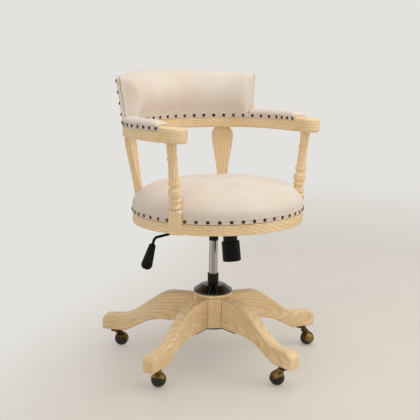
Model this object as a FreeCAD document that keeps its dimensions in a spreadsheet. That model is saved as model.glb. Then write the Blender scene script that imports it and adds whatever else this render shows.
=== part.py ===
import FreeCAD
import Part
import Sketcher
import math
import os
import re

# Swivel desk armchair. The origin is on the floor on the swivel axis, +Z is up and the chair faces -Y.
# Seat, arms and back are drawn level in a seat frame, which then leans back about the tilt pivot.

doc = FreeCAD.newDocument("swivel_armchair")
sheet = doc.addObject("Spreadsheet::Sheet", "sizes")

# Driving dimensions, in millimetres and degrees
driving = {
    # seat frame
    "seat_height": 432.0,
    "seat_pitch": 2.0,
    "pivot_forward": 30.0,
    "pivot_drop": 2.5,
    "tilt_limit": 12.0,
    # clearances
    "running_fit": 0.05,
    "seated_fit": 0.1,
    "soft_gap": 0.3,
    # seat rim, board and cushion
    "rim_radius": 249.0,
    "rim_width": 50.0,
    "rim_height": 45.0,
    "rim_step": 4.0,
    "rim_round": 3.0,
    "rim_forward": 18.0,
    "rim_joint_angle": 38.0,
    "rim_pieces": 4.0,
    "band_height": 15.0,
    "board_thickness": 18.0,
    "crown_rise": 75.0,
    "shoulder_rise": 50.0,
    "shoulder_inset": 24.0,
    "cushion_swell": 4.0,
    "crown_reach": 110.0,
    "crown_round": 520.0,
    "cushion_round": 24.0,
    # arm and back rail
    "arm_height": 250.0,
    "rail_radius": 250.5,
    "rail_width": 44.0,
    "rail_height": 45.0,
    "rail_step": 2.5,
    "rail_round": 4.0,
    "rail_forward": 18.0,
    "arm_radius": 750.0,
    "arm_sweep": 6.5,
    "hand_length": 79.0,
    "hand_width": 56.0,
    "hand_height": 41.0,
    "hand_round": 24.0,
    "hand_edge": 9.0,
    # arm pads and upholstered back
    "pad_rise": 16.0,
    "pad_swell": 1.5,
    "pad_round": 9.0,
    "pad_sweep": 6.45,
    "back_angle": 63.0,
    "back_rise": 133.0,
    "back_lean": 17.0,
    "back_crown": 12.0,
    "back_corner": 18.0,
    "back_end_round": 30.0,
    "back_swell": 21.0,
    "back_roll": 17.0,
    "panel_thickness": 12.0,
    "panel_margin": 4.0,
    "cover_thickness": 8.0,
    # turned arm posts
    "post_angle": 65.1,
    "post_radius": 237.3,
    "post_reach": 28.0,
    "post_yaw": 50.0,
    "block_width": 36.5,
    "block_height": 70.0,
    "block_chamfer": 4.0,
    "turning_neck": 12.8,
    "ring_radius": 17.2,
    "ring_height": 8.0,
    "ball_radius_post": 18.4,
    "ball_height": 28.0,
    "flange_height": 10.0,
    "taper_radius": 14.2,
    "taper_length": 59.5,
    "stalk_radius": 12.3,
    "bead_radius": 15.2,
    "bead_height": 6.0,
    # vase splats
    "splat_angle": 41.5,
    "splat_lean": 30.0,
    "splat_inset": 0.5,
    "splat_thickness": 16.0,
    "splat_foot": 34.0,
    "splat_head": 66.0,
    "splat_neck": 42.0,
    "splat_head_drop": 30.0,
    "splat_shoulder": 24.0,
    "splat_stem": 70.0,
    # upholstery nails
    "nail_radius": 5.4,
    "nail_height": 3.5,
    "nail_pitch": 31.8,
    # wooden base
    "leg_count": 5.0,
    "leg_yaw": 3.8,
    "hub_apothem": 58.0,
    "leg_thickness": 37.0,
    "leg_top": 197.0,
    "leg_under": 108.0,
    "leg_reach": 345.0,
    "foot_under": 61.0,
    "foot_top": 107.0,
    "tip_round": 20.0,
    "toe_round": 4.0,
    "heel_reach": 271.0,
    "heel_round": 10.0,
    "arch_reach": 186.0,
    "arch_round": 150.0,
    "knee_reach": 262.0,
    "knee_rise": 6.0,
    "knee_round": 85.0,
    "shoulder_reach": 146.0,
    "shoulder_round": 85.0,
    "leg_edge": 5.0,
    "disc_radius": 57.0,
    "disc_height": 12.0,
    "disc_round": 4.5,
    # steel star plate and its screws
    "plate_reach": 116.0,
    "plate_width": 28.0,
    "plate_thickness": 3.0,
    "plate_disc": 60.0,
    "screw_radius": 2.5,
    "screw_head": 5.0,
    "screw_head_height": 2.5,
    "screw_length": 25.0,
    "screw_inner": 72.0,
    "screw_outer": 104.0,
    # castors
    "castor_reach": 39.0,
    "castor_trail": 23.0,
    "castor_yaw_1": 108.0,
    "castor_yaw_2": -62.0,
    "castor_yaw_3": 114.0,
    "castor_yaw_4": 13.0,
    "castor_yaw_5": 36.0,
    "ball_radius": 21.0,
    "hood_wall": 1.0,
    "split_tilt": 60.0,
    "split_gap": 0.6,
    "axle_radius": 3.0,
    "axle_length": 13.0,
    "stem_radius": 4.0,
    "stem_length": 36.0,
    "socket_wall": 1.5,
    "socket_lip": 9.0,
    "socket_lip_height": 1.5,
    "castor_flange": 16.5,
    "castor_flange_height": 4.5,
    "castor_neck": 9.5,
    "castor_neck_tilt": 45.0,
    # gas column
    "tube_radius": 16.5,
    "tube_wall": 1.5,
    "tube_top": 172.0,
    "tube_floor": 4.0,
    "bush_length": 60.0,
    "bush_lip": 2.4,
    "bearing_height": 4.0,
    "rod_radius": 5.0,
    "rod_tail": 3.5,
    "rod_shoulder": 9.0,
    "rod_shoulder_height": 3.0,
    "clip_radius": 9.0,
    "clip_height": 1.5,
    "piston_height": 12.0,
    "gas_radius": 13.0,
    "gas_wall": 2.0,
    "gas_guide": 8.0,
    "gas_head": 14.0,
    "lift_stroke": 85.0,
    "lift_margin": 2.0,
    "collar_clear": 17.0,
    "cone_radius": 11.0,
    "cone_length": 42.0,
    "valve_radius": 3.0,
    "valve_length": 15.0,
    "valve_proud": 5.0,
    "valve_travel": 4.0,
    # fluted dome cover
    "dome_radius": 57.5,
    "dome_height": 25.0,
    "dome_rim": 5.0,
    "dome_shoulder": 35.0,
    "dome_wall": 2.5,
    "dome_top_slope": 4.0,
    "flute_count": 10.0,
    "flute_radius": 7.0,
    "flute_depth": 1.2,
    # tilt mechanism
    "mech_width": 60.0,
    "mech_wall": 3.0,
    "mech_front": 105.0,
    "mech_rear": 40.0,
    "mech_floor": 31.0,
    "mech_wall_height": 25.0,
    "mech_ear": 15.0,
    "mech_ear_round": 6.0,
    "collar_radius": 13.8,
    "boss_radius": 17.0,
    "collar_height": 14.0,
    "pin_radius": 6.0,
    "pin_proud": 3.5,
    "tilt_plate_width": 170.0,
    "tilt_plate_front": 115.0,
    "tilt_plate_rear": 75.0,
    "tilt_plate_thickness": 4.0,
    "ear_thickness": 4.0,
    "ear_gap": 0.5,
    "ear_margin": 11.0,
    "bolt_inset": 15.0,
    "plate_bolt_radius": 4.0,
    "plate_bolt_head": 7.0,
    "plate_bolt_head_height": 5.0,
    "plate_bolt_length": 16.0,
    # tension bolt, spring and knob
    "bar_forward": 40.0,
    "bar_rise": 6.0,
    "bar_radius": 5.0,
    "bar_play": 1.4,
    "bolt_lean": 9.0,
    "tension_bolt_radius": 4.0,
    "bolt_hole_play": 1.5,
    "neck_radius": 20.5,
    "neck_wall": 3.5,
    "neck_top": 34.0,
    "neck_cap": 3.0,
    "neck_bottom": 68.0,
    "knob_top": 60.5,
    "knob_length": 58.0,
    "knob_radius": 26.6,
    "knob_taper": 0.5,
    "knob_wall": 4.0,
    "knob_cup": 34.0,
    "knob_round": 3.0,
    "thread_depth": 18.0,
    "spring_radius": 14.5,
    "spring_wire": 5.0,
    # height lever
    "lever_radius": 4.0,
    "lever_slope": 4.2,
    "lever_pivot": 21.0,
    "lever_inner": 27.0,
    "lever_reach": 191.0,
    "lever_bend": 14.0,
    "lever_drop": 30.0,
    "lever_drop_out": 13.2,
    "trunnion_radius": 2.5,
    "cheek_gap": 0.5,
    "cheek_thickness": 3.0,
    "cheek_half": 5.0,
    "slot_width": 12.0,
    "slot_height": 18.0,
    "grip_length": 75.0,
    "grip_top": 15.0,
    "grip_bottom": 36.0,
    "grip_thickness": 17.0,
    "grip_socket": 15.0,
    "grip_edge": 5.0,
}
for row, (alias, number) in enumerate(driving.items(), 1):
    sheet.set(f"A{row}", alias)
    sheet.set(f"B{row}", str(number))
    sheet.setAlias(f"B{row}", alias)
doc.recompute()

AXIS_X = FreeCAD.Vector(1, 0, 0)
AXIS_Y = FreeCAD.Vector(0, 1, 0)
AXIS_Z = FreeCAD.Vector(0, 0, 1)
functions = {"sin", "cos", "tan", "sqrt", "asin"}
nodes = []


# Reading sizes and binding them

def value(text):
    result = sheet.evalExpression(text)
    return float(getattr(result, "Value", result))


def bound(text):
    def name(match):
        word = match.group(0)
        return word if word in functions else "sizes." + word
    return re.sub(r"\b[a-z]\w*\b", name, text)


def bind(item, **sizes):
    for prop, text in sizes.items():
        item.setExpression(prop, bound(text))
    return item


def place(x="0", y="0", z="0", axis=AXIS_Z, angle="0"):
    spot = FreeCAD.Vector(value(x), value(y), value(z))
    return FreeCAD.Placement(spot, FreeCAD.Rotation(axis, value(angle)))


# Primitives and booleans

def cylinder(radius, height, at=None):
    item = bind(doc.addObject("Part::Cylinder", "cylinder"), Radius=radius, Height=height)
    item.Placement = at or place()
    return item


def box(length, width, height, at=None):
    # centred on X and Y, standing on Z = 0 of its placement
    item = bind(doc.addObject("Part::Box", "box"), Length=length, Width=width, Height=height)
    corner = place(f"-({length}) / 2", f"-({width}) / 2")
    item.Placement = (at or place()).multiply(corner)
    return item


def half_ball(radius, at):
    item = bind(doc.addObject("Part::Sphere", "half_ball"), Radius=radius)
    item.Angle1 = 0
    item.Angle2 = 90
    item.Placement = at
    return item


def fuse(items):
    item = doc.addObject("Part::MultiFuse", "fuse")
    item.Shapes = items
    item.Refine = True
    return item


def cut(base, tools):
    item = doc.addObject("Part::Cut", "cut")
    item.Base = base
    item.Tool = tools[0] if len(tools) == 1 else fuse(tools)
    return item


def common(base, tool):
    item = doc.addObject("Part::Common", "common")
    item.Base = base
    item.Tool = tool
    return item


def compound(items):
    item = doc.addObject("Part::Compound", "compound")
    item.Links = items
    return item


def mirror(source):
    item = doc.addObject("Part::Mirroring", "mirror")
    item.Source = source
    item.Normal = AXIS_X
    return item


def node(label, item, frame=None):
    item.Label = label
    if frame:
        item.Placement = frame.multiply(item.Placement)
    nodes.append(item)
    return item


# Sketched bodies. A corner is (x, y) or (x, y, radius), each an expression on the sheet.

def new_body():
    return doc.addObject("PartDesign::Body", "body")


def origin_plane(body, role):
    return next(item for item in body.Origin.OriginFeatures if item.Role == role)


def new_sketch(body, role):
    sketch = body.newObject("Sketcher::SketchObject", "sketch")
    sketch.AttachmentSupport = [(origin_plane(body, role), "")]
    sketch.MapMode = "FlatFace"
    return sketch


def dimension(sketch, constraint, text):
    index = sketch.addConstraint(constraint)
    sketch.renameConstraint(index, f"size_{index}")
    sketch.setExpression(f"Constraints.size_{index}", bound(text))


def fix_point(sketch, geometry, end, spot, corner):
    dimension(sketch, Sketcher.Constraint("DistanceX", -1, 1, geometry, end, spot.x), corner[0])
    dimension(sketch, Sketcher.Constraint("DistanceY", -1, 1, geometry, end, spot.y), corner[1])


def outline(body, role, corners, closed=True):
    sketch = new_sketch(body, role)
    count = len(corners)
    spots = [FreeCAD.Vector(value(corner[0]), value(corner[1]), 0) for corner in corners]
    enter, leave, arcs = list(spots), list(spots), {}
    for index, corner in enumerate(corners):
        if len(corner) < 3:
            continue
        radius = value(corner[2])
        back = (spots[index - 1] - spots[index]).normalize()
        ahead = (spots[(index + 1) % count] - spots[index]).normalize()
        half = back.getAngle(ahead) / 2
        enter[index] = spots[index] + back * (radius / math.tan(half))
        leave[index] = spots[index] + ahead * (radius / math.tan(half))
        middle = (back + ahead).normalize()
        arcs[index] = spots[index] + middle * (radius / math.sin(half) - radius)
    sides = count if closed else count - 1
    lines = []
    for index in range(sides):
        lines.append(sketch.addGeometry(Part.LineSegment(leave[index], enter[(index + 1) % count])))
    for index, corner in enumerate(corners):
        spot = spots[index]
        if not closed and index == 0:
            fix_point(sketch, lines[0], 1, spot, corner)
            continue
        if not closed and index == count - 1:
            fix_point(sketch, lines[-1], 2, spot, corner)
            continue
        before, after = lines[index - 1], lines[index]
        if index not in arcs:
            sketch.addConstraint(Sketcher.Constraint("Coincident", before, 2, after, 1))
            fix_point(sketch, after, 1, spot, corner)
            continue
        arc = sketch.addGeometry(Part.Arc(enter[index], arcs[index], leave[index]))
        starts = sketch.getPoint(arc, 1).distanceToPoint(enter[index])
        ends = sketch.getPoint(arc, 2).distanceToPoint(enter[index])
        first, last = (1, 2) if starts < ends else (2, 1)
        point = sketch.addGeometry(Part.Point(spot), True)
        fix_point(sketch, point, 1, spot, corner)
        sketch.addConstraint(Sketcher.Constraint("Tangent", before, 2, arc, first))
        sketch.addConstraint(Sketcher.Constraint("Tangent", after, 1, arc, last))
        sketch.addConstraint(Sketcher.Constraint("PointOnObject", point, 1, before))
        sketch.addConstraint(Sketcher.Constraint("PointOnObject", point, 1, after))
        dimension(sketch, Sketcher.Constraint("Radius", arc, value(corner[2])), corner[2])
    return sketch


def circles(body, role, spots):
    sketch = new_sketch(body, role)
    for x, y, radius in spots:
        spot = FreeCAD.Vector(value(x), value(y), 0)
        ring = sketch.addGeometry(Part.Circle(spot, AXIS_Z, value(radius)))
        fix_point(sketch, ring, 3, spot, (x, y))
        dimension(sketch, Sketcher.Constraint("Radius", ring, value(radius)), radius)
    return sketch


def add_axis(sketch, x):
    # an upright construction line that a revolution can turn about
    low = FreeCAD.Vector(value(x), 0, 0)
    high = FreeCAD.Vector(value(x), 10, 0)
    line = sketch.addGeometry(Part.LineSegment(low, high), True)
    fix_point(sketch, line, 1, low, (x, "0"))
    fix_point(sketch, line, 2, high, (x, "10"))


def pad(body, sketch, length, symmetric=True):
    feature = body.newObject("PartDesign::Pad", "pad")
    feature.Profile = sketch
    feature.SideType = "Symmetric" if symmetric else "One side"
    return bind(feature, Length=length)


def pocket_up(body, sketch, height):
    feature = body.newObject("PartDesign::Pocket", "pocket")
    feature.Profile = sketch
    feature.Reversed = True
    return bind(feature, Length=height)


def revolve(body, sketch, angle="360", axis="V_Axis", symmetric=False, backwards=False):
    feature = body.newObject("PartDesign::Revolution", "revolution")
    feature.Profile = sketch
    feature.ReferenceAxis = (sketch, [axis])
    feature.Midplane = symmetric
    feature.Reversed = backwards
    return bind(feature, Angle=angle)


def turned(corners, role="XZ_Plane"):
    body = new_body()
    revolve(body, outline(body, role, corners))
    return body


def fillet(body, radius, wanted):
    # rounds each edge of the body whose middle the test picks
    doc.recompute()
    base = body.Tip
    names = []
    for index, edge in enumerate(base.Shape.Edges, 1):
        if wanted(edge.CenterOfMass):
            names.append(f"Edge{index}")
    feature = body.newObject("PartDesign::Fillet", "fillet")
    feature.Base = (base, names)
    return bind(feature, Radius=radius)


# Seat frame: level seat coordinates, leant back about the tilt pivot

pivot = FreeCAD.Vector(0, -value("pivot_forward"), value("seat_height - pivot_drop"))
pivot_in_seat = FreeCAD.Vector(0, -value("pivot_forward"), -value("pivot_drop"))
lean_back = FreeCAD.Rotation(AXIS_X, -value("seat_pitch"))
from_pivot = FreeCAD.Placement(-pivot_in_seat, FreeCAD.Rotation())
seat_frame = FreeCAD.Placement(pivot, lean_back).multiply(from_pivot)
rim_centre = place(y="-rim_forward")
rail_centre = place(y="-rail_forward")

# Wooden base: ten-sided hub core, five legs, disc, star plate and screws

leg_angles = [value(f"leg_yaw - 90 + {index} * 360 / leg_count") for index in range(int(value("leg_count")))]


def around(angle, reach="0", z="0"):
    turn = FreeCAD.Placement(FreeCAD.Vector(), FreeCAD.Rotation(AXIS_Z, angle))
    return turn.multiply(place(x=reach, z=z))


core = bind(doc.addObject("Part::Prism", "core"), Polygon="2 * leg_count", Height="leg_top - leg_under",
            Circumradius="hub_apothem / cos(180 / leg_count / 2)")
core.Placement = around(leg_angles[0] - value("90 / leg_count"), z="leg_under")
bore = cylinder("tube_radius + seated_fit", "leg_top", place())
node("hub_core", cut(core, [bore]))

for number, angle in enumerate(leg_angles, 1):
    leg = new_body()
    pad(leg, outline(leg, "XZ_Plane", [
        ("hub_apothem", "leg_under"),
        ("arch_reach", "leg_under", "arch_round"),
        ("heel_reach", "foot_under", "heel_round"),
        ("leg_reach", "foot_under", "toe_round"),
        ("leg_reach", "foot_top", "tip_round"),
        ("knee_reach", "foot_top + knee_rise", "knee_round"),
        ("shoulder_reach", "leg_top", "shoulder_round"),
        ("hub_apothem", "leg_top"),
    ]), "leg_thickness")
    side = value("leg_thickness") / 2
    upper = value("leg_under") + 1
    toe = value("foot_under + toe_round / 2")
    heel = value("heel_reach")
    fillet(leg, "leg_edge", lambda spot: abs(abs(spot.y) - side) < 0.01
           and (spot.z > upper or (spot.x > heel and spot.z > toe)))
    hole = "screw_radius + running_fit"
    screws = circles(leg, "XY_Plane", [("screw_inner", "0", hole), ("screw_outer", "0", hole)])
    pocket_up(leg, screws, "leg_under - plate_thickness + screw_length")
    socket = "stem_radius + running_fit + socket_wall + seated_fit"
    socket_sketch = circles(leg, "XY_Plane", [("leg_reach - castor_reach", "0", socket)])
    pocket_up(leg, socket_sketch, "foot_under + stem_length")
    leg.Placement = around(angle)
    node(f"leg_{number}", leg)

node("hub_disc", turned([
    ("tube_radius + seated_fit", "leg_top"),
    ("disc_radius", "leg_top", "disc_round"),
    ("disc_radius", "leg_top + disc_height", "disc_round"),
    ("tube_radius + seated_fit", "leg_top + disc_height"),
]))

plate_low = "leg_under - plate_thickness"
plate = [cylinder("plate_disc", "plate_thickness", place(z=plate_low))]
plate_holes = [cylinder("tube_radius + seated_fit", "leg_under", place())]
plate_screws = []
for angle in leg_angles:
    half_way = around(angle, "plate_reach / 2", plate_low)
    plate.append(box("plate_reach", "plate_width", "plate_thickness", half_way))
    for reach in ("screw_inner", "screw_outer"):
        plate_holes.append(cylinder("screw_radius + running_fit", "leg_under", around(angle, reach)))
        shank = cylinder("screw_radius", "screw_length - seated_fit", around(angle, reach, plate_low))
        below = around(angle, reach, plate_low + " - screw_head_height")
        head = cylinder("screw_head", "screw_head_height", below)
        plate_screws.append(fuse([shank, head]))
node("star_plate", cut(fuse(plate), plate_holes))
node("star_plate_screws", compound(plate_screws))

# Castors: sleeve in the leg, swivelling hood with its stem and axle, and an inclined half-ball wheel

sockets = []
ball = place(x="castor_trail", z="ball_radius")
to_wheel = FreeCAD.Rotation(AXIS_Y, value("-90 - split_tilt"))
to_hood = FreeCAD.Rotation(AXIS_Y, value("90 - split_tilt"))
flange_top = "foot_under - socket_lip_height - soft_gap"
for number, angle in enumerate(leg_angles, 1):
    stand = around(angle, "leg_reach - castor_reach")
    sleeve = cylinder("stem_radius + running_fit + socket_wall", "stem_length - seated_fit",
                      stand.multiply(place(z="foot_under")))
    lip = cylinder("socket_lip", "socket_lip_height",
                   stand.multiply(place(z="foot_under - socket_lip_height")))
    hole = cylinder("stem_radius + running_fit", "foot_under + stem_length", stand)
    sockets.append(cut(fuse([sleeve, lip]), [hole]))

    spin = FreeCAD.Placement(stand.Base, FreeCAD.Rotation(AXIS_Z, value(f"castor_yaw_{number}")))
    wheel_frame = spin.multiply(FreeCAD.Placement(ball.Base, to_wheel))
    hood_frame = spin.multiply(FreeCAD.Placement(ball.Base, to_hood)).multiply(place(z="split_gap"))
    hood = half_ball("ball_radius + hood_wall", hood_frame)
    neck_turn = FreeCAD.Rotation(AXIS_Y, value("180 - castor_neck_tilt"))
    neck_root = FreeCAD.Placement(FreeCAD.Vector(0, 0, value(flange_top)), neck_turn)
    neck = cylinder("castor_neck", "castor_trail",
                    spin.multiply(neck_root).multiply(place(z="castor_neck + castor_flange_height / 4")))
    room = box("4 * castor_trail", "4 * castor_trail", "4 * castor_trail", hood_frame)
    flange = cylinder("castor_flange", "castor_flange_height",
                      spin.multiply(place(z=flange_top + " - castor_flange_height")))
    stem = cylinder("stem_radius", "stem_length", spin.multiply(place(z=flange_top)))
    axle = cylinder("axle_radius", "axle_length + split_gap", wheel_frame.multiply(place(z="-split_gap")))
    node(f"castor_hood_{number}", fuse([common(fuse([hood, neck]), room), flange, stem, axle]))
    tread = half_ball("ball_radius", wheel_frame)
    node(f"castor_wheel_{number}",
         cut(tread, [cylinder("axle_radius + running_fit", "axle_length + soft_gap", wheel_frame)]))
node("castor_sockets", compound(sockets))

# Gas column: outer tube, bush, bearing, piston rod with its clip, sliding pressure tube and valve button

tube_bottom = "(leg_under - plate_thickness)"
# heights below the seat underside
tube_high = "(seat_height - tube_top)"
floor_z = "(seat_height - mech_floor)"
tube_bore = "tube_radius - tube_wall"
rod_hole = "rod_radius + running_fit"
bearing_top = f"{tube_bottom} + tube_floor + bearing_height"
gas_bottom = f"{bearing_top} + rod_shoulder_height + lift_margin + lift_stroke"
gas_bore = "gas_radius - gas_wall"
gas_shoulder = f"{tube_high} + bush_lip + lift_stroke + collar_clear"
gas_top = f"{gas_shoulder} + cone_length"
rod_low = f"{tube_bottom} - rod_tail"
rod_high = f"{gas_bottom} + gas_guide + lift_margin + piston_height"

node("outer_tube", turned([
    (rod_hole, tube_bottom),
    ("tube_radius", tube_bottom),
    ("tube_radius", tube_high),
    (tube_bore, tube_high),
    (tube_bore, f"{tube_bottom} + tube_floor"),
    (rod_hole, f"{tube_bottom} + tube_floor"),
]))
bush_bore = "gas_radius + running_fit"
node("guide_bush", turned([
    (bush_bore, f"{tube_high} - bush_length"),
    (f"{tube_bore} - seated_fit", f"{tube_high} - bush_length"),
    (f"{tube_bore} - seated_fit", tube_high),
    ("tube_radius", tube_high),
    ("tube_radius", f"{tube_high} + bush_lip"),
    (bush_bore, f"{tube_high} + bush_lip"),
]))
node("thrust_bearing", turned([
    (rod_hole, f"{tube_bottom} + tube_floor"),
    (f"{tube_bore} - seated_fit", f"{tube_bottom} + tube_floor"),
    (f"{tube_bore} - seated_fit", bearing_top),
    (rod_hole, bearing_top),
]))
node("piston_rod", turned([
    ("0", rod_low),
    ("rod_radius", rod_low),
    ("rod_radius", bearing_top),
    ("rod_shoulder", bearing_top),
    ("rod_shoulder", f"{bearing_top} + rod_shoulder_height"),
    ("rod_radius", f"{bearing_top} + rod_shoulder_height"),
    ("rod_radius", f"{rod_high} - piston_height"),
    (f"{gas_bore} - running_fit", f"{rod_high} - piston_height"),
    (f"{gas_bore} - running_fit", rod_high),
    ("0", rod_high),
]))
node("retaining_clip", turned([
    (rod_hole, f"{tube_bottom} - soft_gap - clip_height"),
    ("clip_radius", f"{tube_bottom} - soft_gap - clip_height"),
    ("clip_radius", f"{tube_bottom} - soft_gap"),
    (rod_hole, f"{tube_bottom} - soft_gap"),
]))
valve_hole = "valve_radius + running_fit"
valve_low = f"{gas_top} + valve_proud - valve_length"
node("pressure_tube", turned([
    (rod_hole, gas_bottom),
    ("gas_radius", gas_bottom),
    ("gas_radius", gas_shoulder),
    ("cone_radius", gas_shoulder),
    ("cone_radius", gas_top),
    (valve_hole, gas_top),
    (valve_hole, f"{valve_low} - valve_travel - lift_margin"),
    ("0", f"{valve_low} - valve_travel - lift_margin"),
    ("0", f"{gas_shoulder} - gas_head"),
    (gas_bore, f"{gas_shoulder} - gas_head"),
    (gas_bore, f"{gas_bottom} + gas_guide"),
    (rod_hole, f"{gas_bottom} + gas_guide"),
]))
node("valve_button", cylinder("valve_radius", "valve_length", place(z=valve_low)))

# Fluted dome over the hub disc

dome_low = "leg_top + disc_height"
dome_shoulder_z = f"{dome_low} + dome_height - dome_top_slope"
dome_hole = "tube_radius + seated_fit"
dome = turned([
    (dome_hole, f"{dome_low} + dome_height"),
    ("dome_shoulder", dome_shoulder_z),
    ("dome_radius", f"{dome_low} + dome_rim"),
    ("dome_radius", dome_low),
    ("dome_radius - dome_wall", dome_low),
    ("dome_radius - dome_wall", f"{dome_low} + dome_rim - dome_wall"),
    ("dome_shoulder - dome_wall / 2", f"{dome_shoulder_z} - dome_wall"),
    (dome_hole, f"{dome_low} + dome_height - dome_wall"),
])
run = value("dome_radius - dome_shoulder")
fall = value(f"{dome_shoulder_z} - ({dome_low}) - dome_rim")
steep = math.degrees(math.atan2(fall, run))
flutes = []
for index in range(int(value("flute_count"))):
    crest = around(index * value("360 / flute_count"), "(dome_radius + dome_shoulder) / 2",
                   f"(({dome_shoulder_z}) + ({dome_low}) + dome_rim) / 2")
    along = crest.multiply(FreeCAD.Placement(FreeCAD.Vector(), FreeCAD.Rotation(AXIS_Y, 90 + steep)))
    flutes.append(cylinder("flute_radius", "dome_radius", along.multiply(
        place(x="flute_depth - flute_radius", z="-dome_radius / 2"))))
node("dome_cover", cut(dome, flutes))

# Tilt mechanism: folded housing with its collar and spring neck, level on the column

bar = seat_frame.multVec(pivot_in_seat + FreeCAD.Vector(0, -value("bar_forward"), value("bar_rise")))
bolt_frame = FreeCAD.Placement(bar, FreeCAD.Rotation(AXIS_X, -value("bolt_lean")))
mech_inside = "mech_width / 2 - mech_wall"
pivot_z = "seat_height - pivot_drop"
wall_z = f"{floor_z} + mech_wall_height"


def wall_corners():
    return [
        ("-mech_front", floor_z),
        ("mech_rear", floor_z, "mech_ear_round"),
        ("mech_rear", wall_z, "mech_ear_round"),
        ("-pivot_forward + mech_ear", wall_z),
        ("-pivot_forward + mech_ear / 2", f"{pivot_z} + mech_ear", "mech_ear_round"),
        ("-pivot_forward - mech_ear / 2", f"{pivot_z} + mech_ear", "mech_ear_round"),
        ("-pivot_forward - mech_ear", wall_z),
        ("-mech_front", wall_z),
    ]


channel = new_body()
pad(channel, outline(channel, "YZ_Plane", wall_corners()), "mech_width")
channel_room = box("mech_width - 2 * mech_wall", "2 * (mech_front + mech_rear)", "seat_height",
                   place(z=f"{floor_z} + mech_wall"))
column_boss = turned([
    ("0", gas_shoulder),
    ("collar_radius", gas_shoulder),
    ("collar_radius", f"{gas_shoulder} + collar_height"),
    ("boss_radius", f"{gas_shoulder} + collar_height"),
    ("boss_radius", f"{floor_z} + mech_wall"),
    ("0", f"{floor_z} + mech_wall"),
])
neck_outer = cylinder("neck_radius", "neck_bottom - neck_top", bolt_frame.multiply(place(z="-neck_bottom")))
lever_z = f"{gas_top} + valve_proud + soft_gap + lever_radius - lever_pivot * tan(lever_slope)"
cheeks = []
for turn in (-1, 1):
    cheeks.append(box("2 * cheek_half", "cheek_thickness", f"{lever_z} + cheek_half - {floor_z}", place(
        x="-lever_pivot", y=f"{turn} * (lever_radius + cheek_gap + cheek_thickness / 2)", z=floor_z)))
across = FreeCAD.Rotation(AXIS_Y, 90)


def cross_bar(radius, half, spot):
    at = FreeCAD.Placement(spot, across)
    return cylinder(radius, f"2 * ({half})", at.multiply(place(z=f"-({half})")))


trunnion_spot = FreeCAD.Vector(-value("lever_pivot"), 0, value(lever_z))
trunnion_turn = FreeCAD.Placement(trunnion_spot, FreeCAD.Rotation(AXIS_X, 90))
trunnion_half = "lever_radius + cheek_gap + cheek_thickness"
trunnion_hole = cylinder("trunnion_radius + running_fit", "2 * mech_width",
                         trunnion_turn.multiply(place(z="-mech_width")))
lever_slot = box("2 * mech_wall", "slot_width", "slot_height", place(
    x="-mech_width / 2", z=f"{lever_z} - slot_height / 2"))
folded = fuse([cut(channel, [channel_room]), column_boss, neck_outer] + cheeks)
node("mech_housing", cut(folded, [
    cylinder("cone_radius + seated_fit", "seat_height", place(z=gas_shoulder)),
    cylinder("neck_radius - neck_wall", "neck_bottom - neck_top - neck_cap + 1",
             bolt_frame.multiply(place(z="-neck_bottom - 1"))),
    cylinder("tension_bolt_radius + bolt_hole_play", "neck_bottom",
             bolt_frame.multiply(place(z="-neck_bottom"))),
    cross_bar("pin_radius + running_fit", "mech_width", pivot),
    trunnion_hole,
    lever_slot,
]))
pin_half = "mech_width / 2 + ear_gap + ear_thickness + pin_proud"
node("tilt_pivot_pin", cross_bar("pin_radius", pin_half, pivot))

# Seat plate with two ears that hang on the pivot pin and hold the tension bar

plate_z = "rim_height - board_thickness - tilt_plate_thickness"
plate_middle = "(tilt_plate_rear - tilt_plate_front) / 2"
plate_length = "tilt_plate_front + tilt_plate_rear"
bar_y = "-pivot_forward - bar_forward"
bar_z = "bar_rise - pivot_drop"
top_plate = box("tilt_plate_width", plate_length, "tilt_plate_thickness", place(y=plate_middle, z=plate_z))
ears = new_body()
pad(ears, outline(ears, "YZ_Plane", [
    (f"{bar_y} - ear_margin", f"{bar_z} - ear_margin", "ear_margin - 1"),
    ("-pivot_forward", "-pivot_drop - 2 * ear_margin", "ear_margin"),
    ("-pivot_forward + 2 * ear_margin", plate_z),
    (f"{bar_y} - ear_margin", plate_z),
]), "mech_width + 2 * ear_gap + 2 * ear_thickness")
ear_room = box("mech_width + 2 * ear_gap", "2 * tilt_plate_front", "2 * tilt_plate_front",
               place(z="-tilt_plate_front * 2 + " + plate_z))
bolt_spots = []
for side_x in (-1, 1):
    for side_y in (-1, 1):
        across_plate = f"{side_x} * (tilt_plate_width / 2 - bolt_inset)"
        along_plate = f"{plate_middle} + {side_y} * (({plate_length}) / 2 - bolt_inset)"
        bolt_spots.append(place(x=across_plate, y=along_plate, z=plate_z))
bolt_holes = []
for spot in bolt_spots:
    bolt_holes.append(cylinder("plate_bolt_radius + seated_fit", "plate_bolt_length + seated_fit", spot))
in_seat = FreeCAD.Vector(0, value(bar_y), value(bar_z))
tilt_plate = cut(fuse([top_plate, cut(ears, [ear_room])]), bolt_holes + [
    cross_bar("pin_radius + running_fit", "mech_width", pivot_in_seat),
    cross_bar("bar_radius + bar_play", "mech_width", in_seat),
])
node("tilt_plate", tilt_plate, seat_frame)
bolts = []
for spot in bolt_spots:
    bolts.append(fuse([cylinder("plate_bolt_radius", "plate_bolt_length", spot),
                       cylinder("plate_bolt_head", "plate_bolt_head_height",
                                spot.multiply(place(z="-plate_bolt_head_height")))]))
node("plate_bolts", compound(bolts), seat_frame)

# Tension bolt with its cross bar, the spring round it and the hollow knob below

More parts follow.
